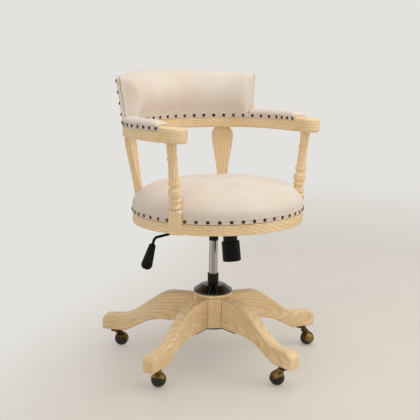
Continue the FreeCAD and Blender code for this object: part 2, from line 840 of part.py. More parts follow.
bar_half = "mech_width / 2 + ear_gap + ear_thickness + pin_proud"
cup_floor = "knob_top + knob_cup"
bolt_end = f"{cup_floor} + thread_depth"
shaft = cylinder("tension_bolt_radius", bolt_end, bolt_frame.multiply(place(z=f"-({bolt_end})")))
node("tension_bolt", fuse([shaft, cross_bar("bar_radius", bar_half, bar)]))
knob = turned([
    ("tension_bolt_radius + running_fit", f"-({cup_floor})"),
    ("tension_bolt_radius + running_fit", f"-({bolt_end}) - soft_gap"),
    ("0", f"-({bolt_end}) - soft_gap"),
    ("0", "-knob_top - knob_length"),
    ("knob_radius", "-knob_top - knob_length", "knob_round"),
    ("knob_radius - knob_taper", "-knob_top", "knob_round / 2"),
    ("knob_radius - knob_wall", "-knob_top"),
    ("knob_radius - knob_wall", f"-({cup_floor})"),
])
node("tension_knob", knob, bolt_frame)
spring = turned([
    ("spring_radius - spring_wire", f"-({cup_floor}) + soft_gap"),
    ("spring_radius", f"-({cup_floor}) + soft_gap"),
    ("spring_radius", "-neck_top - neck_cap - soft_gap"),
    ("spring_radius - spring_wire", "-neck_top - neck_cap - soft_gap"),
])
node("tilt_spring", spring, bolt_frame)

# Height lever: bent rod on two trunnions, and its paddle grip

lever_frame = FreeCAD.Placement(trunnion_spot, FreeCAD.Rotation(AXIS_Y, -value("lever_slope")))
rod = new_body()
path = outline(rod, "XZ_Plane", [
    ("lever_inner", "0"),
    ("-lever_reach", "0", "lever_bend"),
    ("-lever_reach - lever_drop_out", "-lever_drop"),
], closed=False)
section = circles(rod, "YZ_Plane", [("0", "0", "lever_radius")])
section.AttachmentOffset = place(z="lever_inner")
pipe = rod.newObject("PartDesign::AdditivePipe", "pipe")
pipe.Profile = section
pipe.Spine = path
trunnions = cylinder("trunnion_radius", f"2 * ({trunnion_half})", FreeCAD.Placement(
    FreeCAD.Vector(), FreeCAD.Rotation(AXIS_X, 90)).multiply(place(z=f"-({trunnion_half})")))
node("lever_rod", fuse([rod, trunnions]), lever_frame)
drop_angle = math.degrees(math.atan2(value("lever_drop_out"), value("lever_drop")))
grip_frame = lever_frame.multiply(FreeCAD.Placement(
    FreeCAD.Vector(-value("lever_reach + lever_drop_out"), 0, -value("lever_drop")),
    FreeCAD.Rotation(AXIS_Y, drop_angle)))
grip = new_body()
pad(grip, outline(grip, "XZ_Plane", [
    ("-grip_top / 2", "grip_socket", "grip_top * 0.42"),
    ("grip_top / 2", "grip_socket", "grip_top * 0.42"),
    ("grip_bottom / 2", "grip_socket - grip_length", "grip_bottom * 0.39"),
    ("-grip_bottom / 2", "grip_socket - grip_length", "grip_bottom * 0.39"),
]), "grip_thickness")
flat = value("grip_thickness") / 2
fillet(grip, "grip_edge", lambda spot: abs(abs(spot.y) - flat) < 0.01)
node("lever_grip", cut(grip, [cylinder("lever_radius + seated_fit", "2 * grip_socket")]), grip_frame)

# Seat rim in curved segments, let in for the arm posts, and the board inside it

rim_inner = "rim_radius - rim_width"
rim_ledge = "rim_height - band_height"
post_foot = rim_centre.multiply(place(x="post_radius * sin(post_angle)", y="-post_radius * cos(post_angle)"))
joint = rail_centre.multiply(place(x="rail_radius - arm_radius + arm_radius * cos(arm_sweep)",
                                   y="-arm_radius * sin(arm_sweep)", z="arm_height", angle="-arm_sweep"))
post_head = joint.multVec(FreeCAD.Vector(0, -value("post_reach"), 0))
post_line = post_head - post_foot.Base
post_turn = FreeCAD.Rotation(AXIS_Z, post_line).multiply(FreeCAD.Rotation(AXIS_Z, value("post_yaw")))
post_frame = FreeCAD.Placement(post_foot.Base, post_turn)


def mirrored(item):
    doc.recompute()
    return [item, mirror(item)]


def post_tool(margin, height):
    size = f"block_width + 2 * {margin}"
    return mirrored(box(size, size, f"{height} + block_width", post_frame.multiply(place(z="-block_width"))))


rim_tools = post_tool("0", "block_height")
for index, name in enumerate(("left", "front", "right", "back")):
    segment = new_body()
    revolve(segment, outline(segment, "XZ_Plane", [
        (rim_inner, "0"),
        ("rim_radius", "0", "rim_round"),
        ("rim_radius", rim_ledge, "rim_round"),
        ("rim_radius - rim_step", rim_ledge),
        ("rim_radius - rim_step", "rim_height"),
        (rim_inner, "rim_height"),
    ]), "360 / rim_pieces")
    segment.Placement = rim_centre.multiply(place(
        angle=f"270 - rim_joint_angle - 360 / rim_pieces * {1 - index}"))
    node(f"seat_rim_{name}", cut(segment, rim_tools), seat_frame)
board = cylinder(f"{rim_inner} - seated_fit", "board_thickness",
                 rim_centre.multiply(place(z="rim_height - board_thickness")))
node("seat_board", cut(board, bolt_holes), seat_frame)

# Turned arm posts, trimmed level at the rim underside and under the hand rest

level_1 = "block_height"
level_2 = f"{level_1} + 4 * ring_height"
level_3 = f"{level_2} + ball_height"
flange_low = f"{level_3} + 0.75 * ring_height"
level_4 = f"{flange_low} + flange_height"
level_5 = f"{level_4} + taper_length"
level_6 = f"{level_5} + bead_height"
post = new_body()
pad(post, outline(post, "XY_Plane", [
    ("-block_width / 2", "-block_width / 2"),
    ("block_width / 2", "-block_width / 2"),
    ("block_width / 2", "block_width / 2"),
    ("-block_width / 2", "block_width / 2"),
]), "block_height", symmetric=False)
revolve(post, outline(post, "XZ_Plane", [
    ("0", "-block_width"),
    ("block_width / 2", "-block_width"),
    ("block_width / 2", level_1),
    ("turning_neck", level_1),
    ("ring_radius", f"{level_1} + 0.4 * ring_height", "ring_height / 4"),
    ("ring_radius", f"{level_1} + 1.3 * ring_height", "ring_height / 4"),
    ("turning_neck", f"{level_1} + 1.8 * ring_height"),
    ("turning_neck", f"{level_1} + 2.4 * ring_height"),
    ("ring_radius", f"{level_1} + 2.9 * ring_height", "ring_height / 8"),
    ("ring_radius", f"{level_1} + 3.4 * ring_height", "ring_height / 8"),
    ("turning_neck", level_2),
    ("ball_radius_post", f"{level_2} + ball_height / 4", "ball_height / 3"),
    ("ball_radius_post", f"{level_3} - ball_height / 4", "ball_height / 3"),
    ("turning_neck", level_3),
    ("turning_neck", flange_low),
    ("ring_radius", f"{flange_low} + 0.36 * flange_height", "flange_height / 10"),
    ("ring_radius", f"{flange_low} + 0.68 * flange_height", "flange_height / 10"),
    ("taper_radius", level_4),
    ("stalk_radius", level_5),
    ("bead_radius", level_5, "bead_height / 2.2"),
    ("bead_radius", level_6, "bead_height / 2.2"),
    ("stalk_radius", level_6),
    ("taper_radius", "arm_height"),
    ("taper_radius", "arm_height + block_width"),
    ("0", "arm_height + block_width"),
]))
post.Placement = post_frame
post_slab = box("8 * block_width", "8 * block_width", "arm_height", post_foot)
pummel = turned([
    ("0", "-2 * block_width"),
    ("block_width", "-2 * block_width"),
    ("block_width", f"{level_1} - 2 * block_chamfer"),
    ("block_width * 0.72", f"{level_1} - 2 * block_chamfer"),
    ("block_width / 2", level_1),
    ("block_width", level_1),
    ("block_width", "arm_height + 2 * block_width"),
    ("0", "arm_height + 2 * block_width"),
])
pummel.Placement = post_frame
right_post = node("arm_post_right", common(common(post, pummel), post_slab), seat_frame)
node("arm_post_left", mirror(right_post))

# Vase splats, standing on the rim and leaning out to the rail

splat_stand = rail_centre.multiply(place(angle="-splat_angle")).multiply(
    place(y="rail_radius + rail_width / 2 - splat_thickness / 2 - splat_inset - splat_lean", z="rim_height"))
splat_rise = value("arm_height - rim_height")
splat_turn = FreeCAD.Rotation(AXIS_X, -math.degrees(math.atan2(value("splat_lean"), splat_rise)))
splat_frame = splat_stand.multiply(FreeCAD.Placement(FreeCAD.Vector(), splat_turn))
splat_top = "sqrt((arm_height - rim_height) * (arm_height - rim_height) + splat_lean * splat_lean)"
head_z = f"{splat_top} - splat_head_drop"


def splat_side(sign):
    return [
        (f"{sign} * splat_foot / 2", "-splat_thickness"),
        (f"{sign} * splat_foot / 2", "splat_stem", "2 * splat_stem"),
        (f"{sign} * splat_head / 2", f"{head_z} - splat_shoulder / 2", "splat_shoulder"),
        (f"{sign} * splat_head / 2", f"{head_z} + splat_shoulder / 2", "splat_shoulder / 2"),
        (f"{sign} * splat_neck / 2", splat_top),
        (f"{sign} * splat_neck / 2", f"{splat_top} + splat_thickness"),
    ]


splat = new_body()
pad(splat, outline(splat, "XZ_Plane", splat_side(1) + splat_side(-1)[::-1]), "splat_thickness")
splat.Placement = splat_frame
splat_slab = box("4 * splat_head", "4 * splat_head", "arm_height - rim_height", splat_stand)
right_splat = node("splat_right", common(splat, splat_slab), seat_frame)
node("splat_left", mirror(right_splat))

# Horseshoe rail: back piece, two side pieces and two hand rests

rail_in = "rail_radius - rail_width / 2"
rail_out = "rail_radius + rail_width / 2"
rail_top = "arm_height + rail_height"
rail_ledge = f"{rail_top} - band_height"
rail_section = [
    (rail_in, "arm_height", "rail_round"),
    (rail_out, "arm_height", "rail_round"),
    (rail_out, rail_ledge),
    (f"{rail_out} - rail_step", rail_ledge),
    (f"{rail_out} - rail_step", rail_top),
    (f"{rail_in} + rail_step", rail_top),
    (f"{rail_in} + rail_step", rail_ledge),
    (rail_in, rail_ledge),
]
arm_axis = "rail_radius - arm_radius"


def about_back(corners, half_angle):
    body = new_body()
    revolve(body, outline(body, "YZ_Plane", corners), f"2 * ({half_angle})", symmetric=True)
    body.Placement = rail_centre
    return body


def along_arm(corners, back_sweep, front_sweep):
    # from the side of the half-round, back along it and forward along the flatter arm
    body = new_body()
    sketch = outline(body, "XZ_Plane", corners)
    add_axis(sketch, arm_axis)
    revolve(body, sketch, back_sweep)
    revolve(body, sketch, front_sweep, axis="Axis0", backwards=True)
    body.Placement = rail_centre
    return body


node("rail_back", about_back(rail_section, "splat_angle"), seat_frame)
right_rail = node("rail_right", along_arm(rail_section, "90 - splat_angle", "arm_sweep"), seat_frame)
node("rail_left", mirror(right_rail))
hand = new_body()
pad(hand, outline(hand, "XY_Plane", [
    ("-rail_width / 2", "0"),
    ("-hand_width / 2", "-hand_length", "hand_round"),
    ("hand_width / 2", "-hand_length", "hand_round"),
    ("rail_width / 2", "0"),
]), "hand_height", symmetric=False)
hand_top = value("hand_height")
fillet(hand, "hand_edge", lambda spot: spot.y < -0.01 and (spot.z < 0.01 or spot.z > hand_top - 0.01))
hand.Placement = joint
right_hand = node("hand_rest_right", hand, seat_frame)
node("hand_rest_left", mirror(right_hand))

# Arm pads: a crowned strip with bands down both faces of the rail

bed = f"{rail_top} + soft_gap"
band_low = f"{rail_ledge} + soft_gap"
pad_in = f"{rail_in} + rail_step - soft_gap"
pad_out = f"{rail_out} - rail_step + soft_gap"
pad_section = [
    (pad_in, bed),
    (pad_in, band_low),
    (rail_in, band_low),
    (rail_in, rail_top),
    (f"{rail_in} - pad_swell", f"{rail_top} + pad_rise - pad_round", "pad_round"),
    (f"{rail_in} + pad_round", f"{rail_top} + pad_rise * 0.9", "pad_round"),
    ("rail_radius", f"{rail_top} + pad_rise", "4 * pad_round"),
    (f"{rail_out} - pad_round", f"{rail_top} + pad_rise * 0.9", "pad_round"),
    (f"{rail_out} + pad_swell", f"{rail_top} + pad_rise - pad_round", "pad_round"),
    (rail_out, rail_top),
    (rail_out, band_low),
    (pad_out, band_low),
    (pad_out, bed),
]
gap_turn = "360 * soft_gap / (6.283 * rail_radius)"
pad_back = f"90 - back_angle - {gap_turn}"
right_pad = node("arm_pad_right", along_arm(pad_section, pad_back, "pad_sweep"), seat_frame)
node("arm_pad_left", mirror(right_pad))

# Upholstered back: curved panel on the rail, padded front and covered rear

panel_front = f"{rail_out} - cover_thickness - panel_thickness"
panel_rear = f"{rail_out} - cover_thickness"
back_top = f"{rail_top} + back_rise"
panel_top = f"{back_top} - back_roll"


def leaning(radius, height):
    return f"{radius} + back_lean * (({height}) - ({rail_top})) / back_rise"


node("back_panel", about_back([
    (leaning(panel_front, rail_top), rail_top),
    (leaning(panel_rear, rail_top), rail_top),
    (leaning(panel_rear, panel_top), panel_top),
    (leaning(panel_front, panel_top), panel_top),
], "back_angle - panel_margin"), seat_frame)

swell_low = f"{rail_top} + back_rise * 0.28"
swell_high = f"{rail_top} + back_rise * 0.66"
room_front = f"{panel_front} - soft_gap"
room_rear = f"{panel_rear} + soft_gap"
room_top = f"{panel_top} + soft_gap"
cushion_body = about_back([
    (leaning(f"{panel_rear} - soft_gap", bed), bed),
    (pad_in, bed),
    (pad_in, band_low),
    (rail_in, band_low),
    (rail_in, f"{rail_top} + soft_gap"),
    (f"{rail_in} - back_swell", swell_low, "3.5 * back_swell"),
    (f"{rail_in} - 0.7 * back_swell", swell_high, "4 * back_swell"),
    (leaning(f"{rail_in} + back_roll * 0.3", back_top), back_top, "back_roll"),
    (leaning(f"{panel_rear} - soft_gap", back_top), back_top),
], "back_angle")
panel_room = about_back([
    (leaning(room_front, rail_top), rail_top),
    (leaning(room_rear, rail_top), rail_top),
    (leaning(room_rear, room_top), room_top),
    (leaning(room_front, room_top), room_top),
], f"back_angle - panel_margin + {gap_turn}")
end_frame = rail_centre.multiply(place(angle="-back_angle"))
swell_face = f"{rail_in} - back_swell"
corner = box("back_end_round + 1", "back_end_round + 1", "2 * back_rise", end_frame.multiply(place(
    x="(1 - back_end_round) / 2", y=f"{swell_face} + (back_end_round - 1) / 2", z=rail_top)))
round_bar = cylinder("back_end_round", "3 * back_rise", end_frame.multiply(place(
    x="-back_end_round", y=f"{swell_face} + back_end_round", z="arm_height")))
end_tools = mirrored(cut(corner, [round_bar]))


def crowned():
    # the back seen from the front: a bowed top edge with round corners
    wide = f"({rail_out} + back_lean) * sin(back_angle)"
    front = new_body()
    pad(front, outline(front, "XZ_Plane", [
        (f"-{wide}", "arm_height"),
        (wide, "arm_height"),
        (wide, f"{back_top} - back_crown", "back_corner"),
        ("0", f"{back_top} + back_crown / 2", "arm_radius * 2"),
        (f"-{wide}", f"{back_top} - back_crown", "back_corner"),
    ]), "4 * rail_radius")
    front.Placement = rail_centre
    return front


node("back_cushion", cut(common(cushion_body, crowned()), end_tools + [panel_room]), seat_frame)
cover_body = about_back([
    (leaning(f"{panel_rear} + soft_gap", bed), bed),
    (leaning(f"{panel_rear} + soft_gap", back_top), back_top),
    (leaning(rail_out, back_top), back_top, "cover_thickness / 2"),
    (rail_out, rail_top),
    (rail_out, band_low),
    (pad_out, band_low),
    (pad_out, bed),
], "back_angle")
node("back_cover", common(cover_body, crowned()), seat_frame)

# Seat cushion: crowned round pad with a band round the rim, cut away for posts and splats

cushion_bed = "rim_height + soft_gap"
cushion_band = f"{rim_ledge} + soft_gap"
dome_pad = turned([
    ("0", cushion_bed),
    ("rim_radius - rim_step + soft_gap", cushion_bed),
    ("rim_radius - rim_step + soft_gap", cushion_band),
    ("rim_radius", cushion_band),
    ("rim_radius", "rim_height"),
    ("rim_radius + cushion_swell", "rim_height + shoulder_rise / 3", "cushion_round"),
    ("rim_radius - shoulder_inset", "rim_height + shoulder_rise", "cushion_round"),
    ("crown_reach", "rim_height + crown_rise", "crown_round"),
    ("0", "rim_height + crown_rise"),
])
dome_pad.Placement = rim_centre
splat_tool = mirrored(box("splat_foot + 4 * soft_gap", "splat_thickness + 2 * soft_gap",
                          "crown_rise + rim_height", splat_frame.multiply(place(z="-rim_height / 2"))))
seat_cushion = cut(dome_pad, post_tool("2 * soft_gap", "block_height + crown_rise") + splat_tool)
node("seat_cushion", seat_cushion, seat_frame)

# Upholstery nails: domed heads along the seat band, the rail bands and the back's side edges

nail_ball = "((nail_radius * nail_radius + nail_height * nail_height) / nail_height / 2)"
nail = doc.addObject("Part::Sphere", "nail")
bind(nail, Radius=nail_ball, Angle1=f"asin(({nail_ball} - nail_height) / {nail_ball})")
doc.recompute()
nail_set = value(f"{nail_ball} - nail_height")
heads = []


def set_nail(spot, outward):
    head = nail.Shape.copy()
    turn = FreeCAD.Rotation(AXIS_Z, outward)
    head.Placement = FreeCAD.Placement(spot + outward * value("seated_fit"), turn).multiply(
        FreeCAD.Placement(FreeCAD.Vector(0, 0, -nail_set), FreeCAD.Rotation()))
    heads.append(head)


def ring_point(centre, angle, radius, z):
    outward = FreeCAD.Vector(math.cos(angle), math.sin(angle), 0)
    return centre + outward * radius + FreeCAD.Vector(0, 0, z), outward


seat_row = value(f"{rim_ledge} + band_height / 2")
post_bearing = value("post_angle")
clear = math.degrees(math.asin(value("0.75 * block_width / rim_radius")))
near, past = post_bearing - clear, post_bearing + clear
for start, stop in ((-near, near), (past, 360 - past)):
    count = round(math.radians(stop - start) * value("rim_radius / nail_pitch"))
    for index in range(count + 1):
        bearing = math.radians(start + (stop - start) * index / count - 90)
        spot, outward = ring_point(rim_centre.Base, bearing, value("rim_radius"), seat_row)
        set_nail(spot, outward)

rail_row = value(f"{rail_ledge} + band_height / 2")
arm_centre = rail_centre.Base + FreeCAD.Vector(value(arm_axis), 0, 0)
for face, sign in ((rail_out, 1), (rail_in, -1)):
    length = value(face) * math.pi
    count = round(length / value("nail_pitch"))
    for index in range(count + 1):
        spot, outward = ring_point(rail_centre.Base, math.pi * index / count, value(face), rail_row)
        set_nail(spot, outward * sign)
    reach = value(f"{face} - ({arm_axis})")
    sweep = math.radians(value("pad_sweep"))
    count = round(reach * sweep / value("nail_pitch"))
    step = (sweep - value("1.2 * nail_radius") / reach) / count
    for index in range(1, count + 1):
        spot, outward = ring_point(arm_centre, -index * step, reach, rail_row)
        set_nail(spot, outward * sign)
        set_nail(FreeCAD.Vector(-spot.x, spot.y, spot.z), FreeCAD.Vector(-outward.x, outward.y, 0) * sign)

# up both ends of the back, on its leaning rear cover
lean = math.atan2(value("back_lean"), value("back_rise"))
end_bearing = math.radians(90 - value("back_angle")) + value("2 * nail_radius") / value(rail_out)
low_row = value(f"{rail_top} + nail_pitch / 2")
end_span = value(f"{back_top} - back_crown - 2 * nail_radius") - low_row
end_count = math.ceil(end_span / value("nail_pitch"))
for index in range(end_count + 1):
    z = low_row + index * end_span / end_count
    radius = value(rail_out) + math.tan(lean) * (z - value(rail_top))
    spot, outward = ring_point(rail_centre.Base, end_bearing, radius, z)
    outward = outward * math.cos(lean) - AXIS_Z * math.sin(lean)
    set_nail(spot, outward)
    set_nail(FreeCAD.Vector(-spot.x, spot.y, spot.z), FreeCAD.Vector(-outward.x, outward.y, outward.z))

nails = doc.addObject("Part::Feature", "nails")
nails.Shape = Part.makeCompound(heads)
node("upholstery_nails", nails, seat_frame)

# Checking and writing

doc.recompute()
for item in doc.Objects:
    if "Invalid" in item.State or "Error" in item.State:
        raise RuntimeError(f"{item.Name} {item.Label}: {item.State}")
os.makedirs("parts", exist_ok=True)
for item in nodes:
    shape = item.Shape
    if shape.isNull() or not shape.isValid():
        raise RuntimeError(f"{item.Label} has no valid shape")
for item in nodes:
    item.Shape.exportStep(f"parts/{item.Label}.step")
    print(item.Label, len(item.Shape.Solids), round(item.Shape.Volume))
print(len(nodes), "nodes")
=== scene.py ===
import math

import bmesh
import bpy
from mathutils import Matrix, Vector, noise


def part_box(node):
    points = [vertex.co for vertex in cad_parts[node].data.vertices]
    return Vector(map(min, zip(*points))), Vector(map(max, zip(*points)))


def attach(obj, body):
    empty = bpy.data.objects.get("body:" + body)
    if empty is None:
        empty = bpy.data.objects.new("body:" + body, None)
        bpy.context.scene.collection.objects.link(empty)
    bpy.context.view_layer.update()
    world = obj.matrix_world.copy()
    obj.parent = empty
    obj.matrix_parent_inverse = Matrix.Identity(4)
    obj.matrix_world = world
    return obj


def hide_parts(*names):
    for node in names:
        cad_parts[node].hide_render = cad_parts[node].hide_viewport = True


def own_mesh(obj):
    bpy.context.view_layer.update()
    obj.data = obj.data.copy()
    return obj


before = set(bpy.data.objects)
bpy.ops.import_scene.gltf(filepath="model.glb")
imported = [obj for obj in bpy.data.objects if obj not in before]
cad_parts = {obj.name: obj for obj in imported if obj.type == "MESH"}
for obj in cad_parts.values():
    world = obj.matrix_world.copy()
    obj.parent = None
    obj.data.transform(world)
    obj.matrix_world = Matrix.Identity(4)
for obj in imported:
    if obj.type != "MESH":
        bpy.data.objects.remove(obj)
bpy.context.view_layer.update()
scene = bpy.context.scene
scene.view_settings.view_transform = "Standard"
print("frame loaded,", len(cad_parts), "solids")


# shader maths: a Wire is one socket, and sums on wires add Math nodes

class Wire:
    def __init__(self, finish, socket):
        self.finish = finish
        self.socket = socket

    def maths(self, operation, left, right=0.0):
        return self.finish.add("ShaderNodeMath", {"operation": operation}, {0: left, 1: right})

    def __add__(self, other):
        return self.maths("ADD", self, other)

    def __radd__(self, other):
        return self.maths("ADD", other, self)

    def __sub__(self, other):
        return self.maths("SUBTRACT", self, other)

    def __rsub__(self, other):
        return self.maths("SUBTRACT", other, self)

    def __mul__(self, other):
        return self.maths("MULTIPLY", self, other)

    def __rmul__(self, other):
        return self.maths("MULTIPLY", other, self)

    def __truediv__(self, other):
        return self.maths("DIVIDE", self, other)

    def __rtruediv__(self, other):
        return self.maths("DIVIDE", other, self)

    def __abs__(self):
        return self.maths("ABSOLUTE", self)

    def sine(self):
        return self.maths("SINE", self)

    def root(self):
        return self.maths("SQRT", self)

    def frac(self):
        return self.maths("FRACT", self)

    def least(self, other):
        return self.maths("MINIMUM", self, other)

    def most(self, other):
        return self.maths("MAXIMUM", self, other)

    def step(self, low, high):        # soft step from 0 at low to 1 at high
        return self.finish.add("ShaderNodeMapRange", {"interpolation_type": "SMOOTHSTEP"},
                               {"Value": self, "From Min": low, "From Max": high})


class Finish:
    def __init__(self, name, **plain):
        self.wire(bpy.data.materials.new(name))
        self.shader = self.nodes["Principled BSDF"]
        for socket, value in plain.items():
            self.shader.inputs[socket.replace("_", " ")].default_value = value

    @classmethod
    def of(cls, owner):               # the same kit on a world
        made = cls.__new__(cls)
        made.wire(owner)
        return made

    def wire(self, owner):
        self.material = owner
        owner.use_nodes = True
        self.nodes = owner.node_tree.nodes
        self.links = owner.node_tree.links

    def add(self, kind, settings=None, inputs=None, out=0):
        made = self.nodes.new(kind)
        for key, value in (settings or {}).items():
            setattr(made, key, value)
        for key, value in (inputs or {}).items():
            self.feed(made.inputs[key], value)
        return Wire(self, made.outputs[out])

    def feed(self, socket, value):
        if isinstance(value, Wire):
            self.links.new(value.socket, socket)
        else:
            socket.default_value = value

    def where(self):
        return self.add("ShaderNodeTexCoord", out="Object")

    def axes(self, where):
        return [self.along(where, axis) for axis in ((1, 0, 0), (0, 1, 0), (0, 0, 1))]

    def bearing(self, x, y):
        return self.add("ShaderNodeMath", {"operation": "ARCTAN2"}, {0: y, 1: x})

    def along(self, where, direction):
        return self.add("ShaderNodeVectorMath", {"operation": "DOT_PRODUCT"},
                        {0: where, 1: tuple(direction)}, out="Value")

    def point(self, x, y, z):
        return self.add("ShaderNodeCombineXYZ", inputs={0: x, 1: y, 2: z})

    def noise(self, where, scale, detail=2.0, rough=0.5):
        return self.add("ShaderNodeTexNoise", inputs={
            "Vector": where, "Scale": scale, "Detail": detail, "Roughness": rough})

    def mix(self, share, first, second):
        return self.add("ShaderNodeMix", {"data_type": "RGBA"}, {0: share, 6: first, 7: second}, out=2)

    def bump(self, height, strength, distance):
        return self.add("ShaderNodeBump", inputs={
            "Height": height, "Strength": strength, "Distance": distance})

    def wear(self, **sockets):
        for name, value in sockets.items():
            self.feed(self.shader.inputs[name.replace("_", " ")], value)
        return self.material


def rgb(red, green, blue):            # screen colour, 0 to 255, as the renderer's own
    made = []
    for part in (red, green, blue):
        part = part / 255
        made.append(part / 12.92 if part <= 0.04045 else ((part + 0.055) / 1.055) ** 2.4)
    return tuple(made)


def solid(colour):
    return (*colour, 1.0)


# limed oak: rings round a heart line, white wax in the open pores, one board per piece

oak = {
    "pale": rgb(246, 219, 175), "straw": rgb(235, 201, 148), "tan": rgb(208, 168, 113),
    "wax": rgb(247, 235, 214), "ring": 0.0085, "slope": 0.16, "late": 0.46, "lime": 0.9,
    "gloss": (0.45, 0.62), "waverDepth": 0.004, "bump": 0.4, "bumpDepth": 0.0006,
    "drift": (3.0, 5.0), "waver": (9.0, 45.0), "pores": (24.0, 640.0), "fibre": (8.0, 210.0),
    "patch": (6.0, 18.0), "patchShift": 4.1,
}


def limedOak(node, grain, heart, seed, wander):
    grain = Vector(grain).normalized()
    upright = Vector((0, 0, 1)) if abs(grain.z) < 0.8 else Vector((0, 1, 0))
    side = grain.cross(upright).normalized()
    face = side.cross(grain).normalized()
    low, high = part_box(node)
    middle = (Vector(low) + Vector(high)) / 2
    finish = Finish("limedOak_" + node)
    where = finish.where()
    length = finish.along(where, grain) - grain.dot(middle)
    u = length + seed * 0.37
    v = finish.along(where, side) - side.dot(middle)
    w = finish.along(where, face) - face.dot(middle)

    def streaks(kind, detail, rough=0.5, shift=0.0):
        lengthwise, crosswise = oak[kind]
        where = finish.point(u * lengthwise + shift, v * crosswise, w * crosswise)
        return finish.noise(where, 1.0, detail, rough)

    drift = streaks("drift", 2.0) - 0.5
    waver = streaks("waver", 2.0) - 0.5
    across = v + length * oak["slope"] + drift * wander + heart[0]
    depth = w + drift * wander * 0.8 + heart[1]
    radius = (across * across + depth * depth).root() + waver * oak["waverDepth"]
    ring = (radius / oak["ring"]).frac()
    early = 1.0 - ring.step(0.0, 0.4)
    late = ring.step(0.4, 0.95) * (1.0 - ring.step(0.95, 1.0))
    pores = streaks("pores", 3.0, 0.6).step(0.48, 0.66)
    fibre = streaks("fibre", 3.0)
    patch = streaks("patch", 3.0, shift=oak["patchShift"])
    opened = pores * (early * 0.8 + 0.2)
    colour = finish.mix(fibre.step(0.3, 0.72), solid(oak["straw"]), solid(oak["pale"]))
    colour = finish.mix(late * (fibre * 0.6 + 0.7) * oak["late"], colour, solid(oak["tan"]))
    colour = finish.mix((0.6 - patch).step(0.04, 0.28) * 0.4, colour, solid(oak["tan"]))
    lime = (opened + patch.step(0.58, 0.74) * 0.3).least(1.0)
    colour = finish.mix(lime * oak["lime"], colour, solid(oak["wax"]))
    low, high = oak["gloss"]
    return finish.wear(
        Base_Color=colour,
        Roughness=fibre * (high - low) + low,
        Normal=finish.bump(fibre * 0.35 - opened, oak["bump"], oak["bumpDepth"]))


def leanBack(x, y, z):                # level seat millimetres to metres in the frame
    pitch = seatShape["pitch"]
    pivotY, pivotZ, drop = seatShape["pivot"]
    dy, dz = y - pivotY, z + drop
    return Vector((x, pivotY + dy * math.cos(pitch) + dz * math.sin(pitch),
                   pivotZ - dy * math.sin(pitch) + dz * math.cos(pitch))) / 1000


def level(spot):                      # and back again
    pitch = seatShape["pitch"]
    pivotY, pivotZ, drop = seatShape["pivot"]
    dy, dz = spot.y * 1000 - pivotY, spot.z * 1000 - pivotZ
    return Vector((spot.x * 1000, pivotY + dy * math.cos(pitch) - dz * math.sin(pitch),
                   dy * math.sin(pitch) + dz * math.cos(pitch) - drop))


seatShape = {
    "pitch": math.radians(2.0), "pivot": (-30.0, 429.5, 2.5), "centreY": -18.0,
    "rim": 249.0, "rimTop": 45.0, "railTop": 295.0, "railIn": 228.5, "railOut": 272.5,
    "band": 15.0, "armCentre": -499.5, "armSweep": 6.45, "rail": 250.5,
    "panelFront": 252.5, "backRise": 133.0, "backLean": 17.0, "softGap": 0.3,
}

seatMiddle = seatShape["centreY"] / 1000
legs = {"first": math.radians(-86.2), "apart": math.radians(72), "fall": -0.2, "wander": 0.045}
boards = {                            # grain direction, heart line from the middle, board number, waviness
    "hub_core": ((0.05, 0, 1), (0.05, 0.11), 1, 0.02),
    "hub_disc": ((1, 0.3, 0), (0.02, 0.16), 2, 0.02),
    "seat_rim_front": ((0.97, 0.24, 0.03), (0.05, 0.11), 3, 0.04),
    "seat_rim_left": ((-0.24, 0.97, 0), (0.02, 0.20), 4, 0.02),
    "seat_rim_right": ((0.24, 0.97, 0.02), (-0.03, 0.22), 5, 0.03),
    "seat_rim_back": ((0.97, -0.2, 0), (-0.03, 0.20), 6, 0.02),
    "rail_back": ((1, 0, 0.02), (0.02, 0.26), 7, 0.03),
    "rail_right": ((0.26, -0.97, 0.03), (-0.02, 0.24), 8, 0.025),
    "rail_left": ((-0.26, -0.97, 0.03), (-0.02, 0.26), 9, 0.03),
    "hand_rest_right": ((0.11, -0.99, 0.04), (-0.02, 0.06), 10, 0.02),
    "hand_rest_left": ((-0.11, -0.99, 0.04), (-0.03, 0.05), 11, 0.02),
    "arm_post_right": ((0.06, -0.06, 1), (0.03, 0.12), 12, 0.015),
    "arm_post_left": ((-0.06, -0.06, 1), (0.05, 0.10), 13, 0.015),
    "splat_right": ((0.05, 0.12, 1), (0.012, 0.05), 14, 0.02),
    "splat_left": ((-0.05, 0.12, 1), (0.02, 0.06), 15, 0.02),
}
for number in range(5):
    turn = legs["first"] + number * legs["apart"]
    grain = (math.cos(turn), math.sin(turn), legs["fall"])
    heart = (0.017 - 0.004 * number, 0.021 - 0.012 * (number % 3))
    boards[f"leg_{number + 1}"] = (grain, heart, 20 + number, legs["wander"])
for name, (grain, heart, seed, wander) in boards.items():
    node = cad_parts[name]
    node.data.materials.clear()
    node.data.materials.append(limedOak(name, grain, heart, seed, wander))
print("limed oak on", len(boards), "pieces")


# cream linen: plain weave with slubs, read from the top and round the side

linen = {
    "pale": rgb(233, 221, 208), "warm": rgb(226, 211, 194), "weaveShadeAndSlubs": rgb(208, 190, 170),
    "thread": 0.0011, "reach": 0.25, "rough": (0.82, 0.95), "slub": (70.0, 1500.0), "cloud": 9.0,
    "flat": (0.55, 0.75), "bump": 0.5, "bumpDepth": 0.0004,
}


def weave(finish, u, v, seed):
    turn = math.pi / linen["thread"]
    warp = (u * turn).sine()
    weft = (v * turn).sine()
    coarse, fine = linen["slub"]
    slubs = finish.noise(finish.point(u * coarse, v * fine, seed), 1.0, 2.0)
    nubs = finish.noise(finish.point(u * fine, v * coarse, seed + 3.0), 1.0, 2.0)
    return warp * weft * 0.5 + 0.5, slubs.most(nubs)


